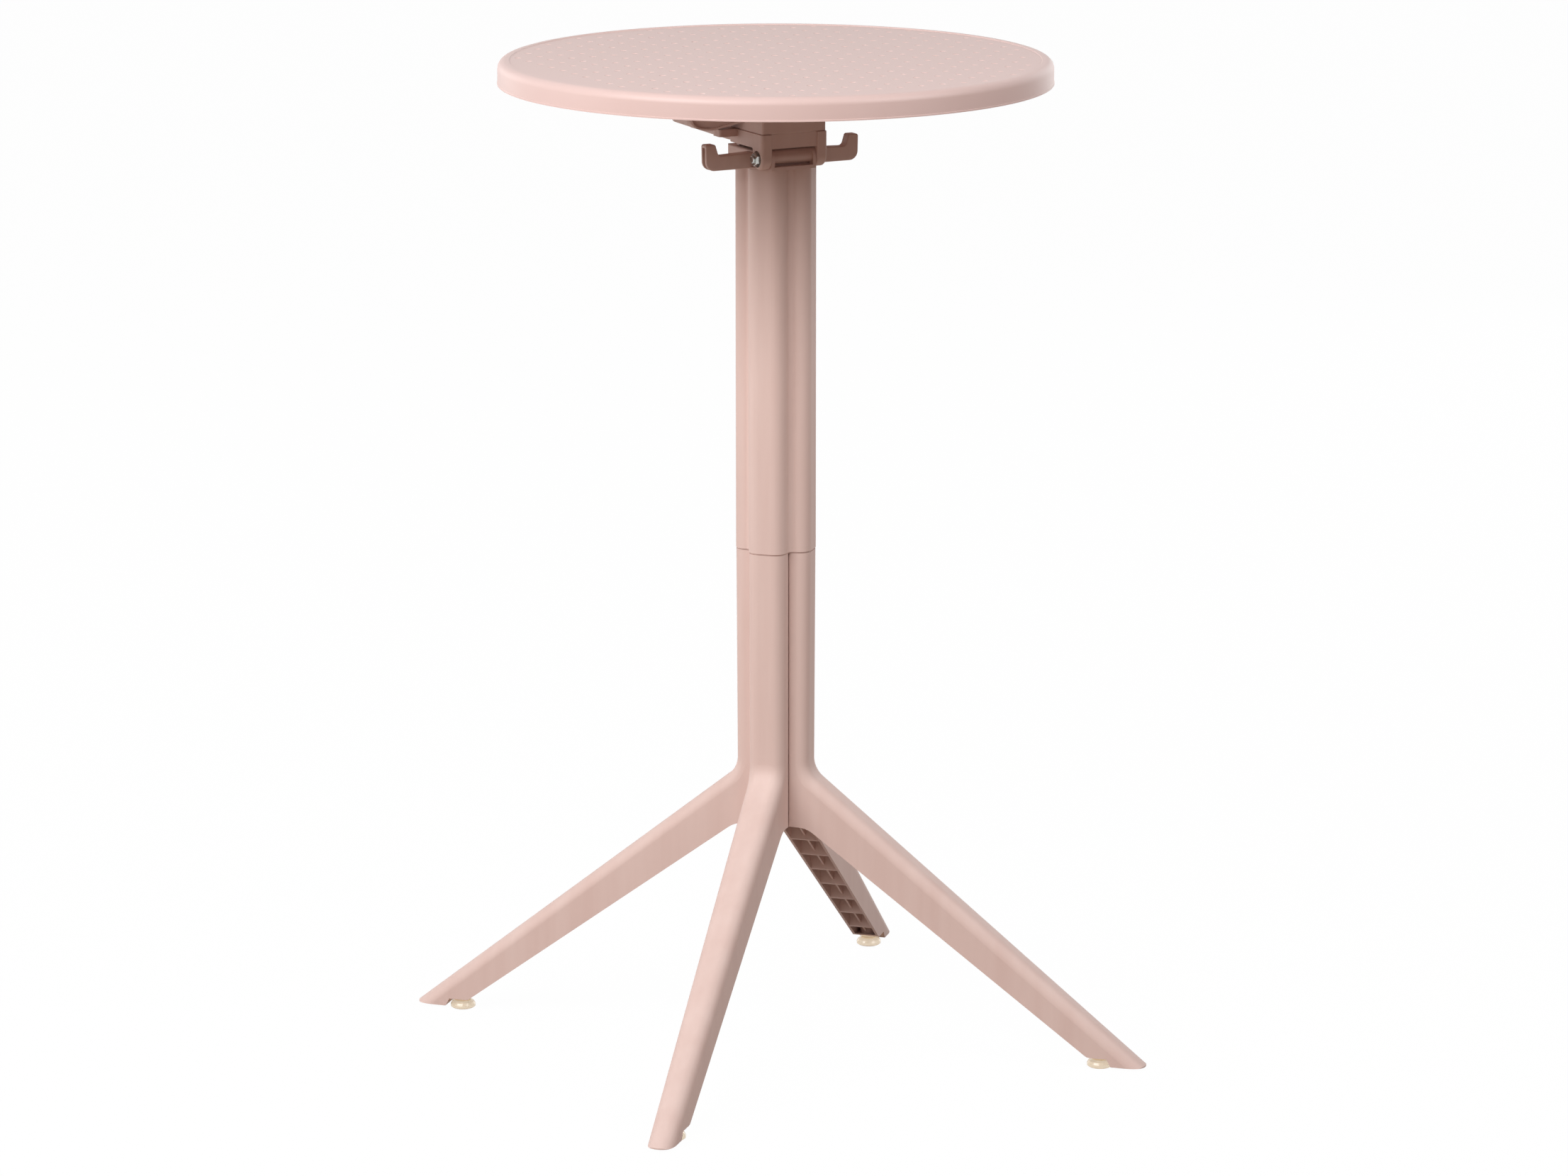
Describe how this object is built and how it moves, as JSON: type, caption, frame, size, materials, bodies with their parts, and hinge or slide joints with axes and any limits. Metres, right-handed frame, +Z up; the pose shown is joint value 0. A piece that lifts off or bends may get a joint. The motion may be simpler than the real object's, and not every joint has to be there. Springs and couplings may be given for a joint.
{
  "type": "bar table",
  "caption": "Round-topped bar table on a clover-section column with splayed ribbed legs, bag hooks, a tilting top with release lever and screw-in levelling feet.",
  "frame": {"origin": "on the floor, on the column's axis", "axes": "+Z up along the column; +X along the tilt hinge; -Y is the hinge side, +Y the release lever's side; legs on the diagonals"},
  "size_m": [0.6104, 0.6104, 1.1],
  "materials": {
    "dusty_pink_plastic": "satin moulded polypropylene",
    "zinc_steel": "zinc plated",
    "insert_brass": "turned",
    "amber_foot_plastic": "translucent, smooth"
  },
  "bodies": {
    "base": {"leg_front_left": "dusty_pink_plastic", "leg_front_right": "dusty_pink_plastic", "leg_back_right": "dusty_pink_plastic", "leg_back_left": "dusty_pink_plastic", "base_plate": "zinc_steel", "leg_screws": "zinc_steel", "foot_inserts": "insert_brass", "column_tube": "dusty_pink_plastic", "core_tube": "zinc_steel", "tie_rod": "zinc_steel", "tie_rod_nuts": "zinc_steel", "tie_rod_washers": "zinc_steel", "column_head": "dusty_pink_plastic"},
    "tilting_top": {"table_top": "dusty_pink_plastic", "top_mount": "dusty_pink_plastic", "mount_screws": "zinc_steel", "tilt_yoke": "dusty_pink_plastic", "yoke_screws": "zinc_steel", "hinge_bolt": "zinc_steel", "hinge_nut": "zinc_steel", "hinge_washers": "zinc_steel", "lever_pin": "zinc_steel", "lever_spring": "zinc_steel"},
    "lever": {"release_lever": "dusty_pink_plastic"},
    "foot_front_left_body": {"foot_front_left": "amber_foot_plastic"},
    "foot_front_right_body": {"foot_front_right": "amber_foot_plastic"},
    "foot_back_right_body": {"foot_back_right": "amber_foot_plastic"},
    "foot_back_left_body": {"foot_back_left": "amber_foot_plastic"}
  },
  "joints": [
    {"name": "top_tilt", "type": "hinge", "parent": "base", "child": "tilting_top", "pos_m": [0, -0.032, 0.9975], "axis": [1, 0, 0], "range_deg": [0, 90]},
    {"name": "lever_pull", "type": "hinge", "parent": "tilting_top", "child": "lever", "pos_m": [0, 0.047, 1.018], "axis": [1, 0, 0], "range_deg": [0, 10], "stiffness_Nm_per_rad": 0.6, "springref_deg": -14.32, "deforming": ["lever_spring"]},
    {"name": "foot_front_left_turn", "type": "hinge", "parent": "base", "child": "foot_front_left_body", "pos_m": [-0.26375, -0.26375, 0], "axis": [0, 0, 1], "continuous": true},
    {"name": "foot_front_right_turn", "type": "hinge", "parent": "base", "child": "foot_front_right_body", "pos_m": [0.26375, -0.26375, 0], "axis": [0, 0, 1], "continuous": true},
    {"name": "foot_back_right_turn", "type": "hinge", "parent": "base", "child": "foot_back_right_body", "pos_m": [0.26375, 0.26375, 0], "axis": [0, 0, 1], "continuous": true},
    {"name": "foot_back_left_turn", "type": "hinge", "parent": "base", "child": "foot_back_left_body", "pos_m": [-0.26375, 0.26375, 0], "axis": [0, 0, 1], "continuous": true}
  ]
}
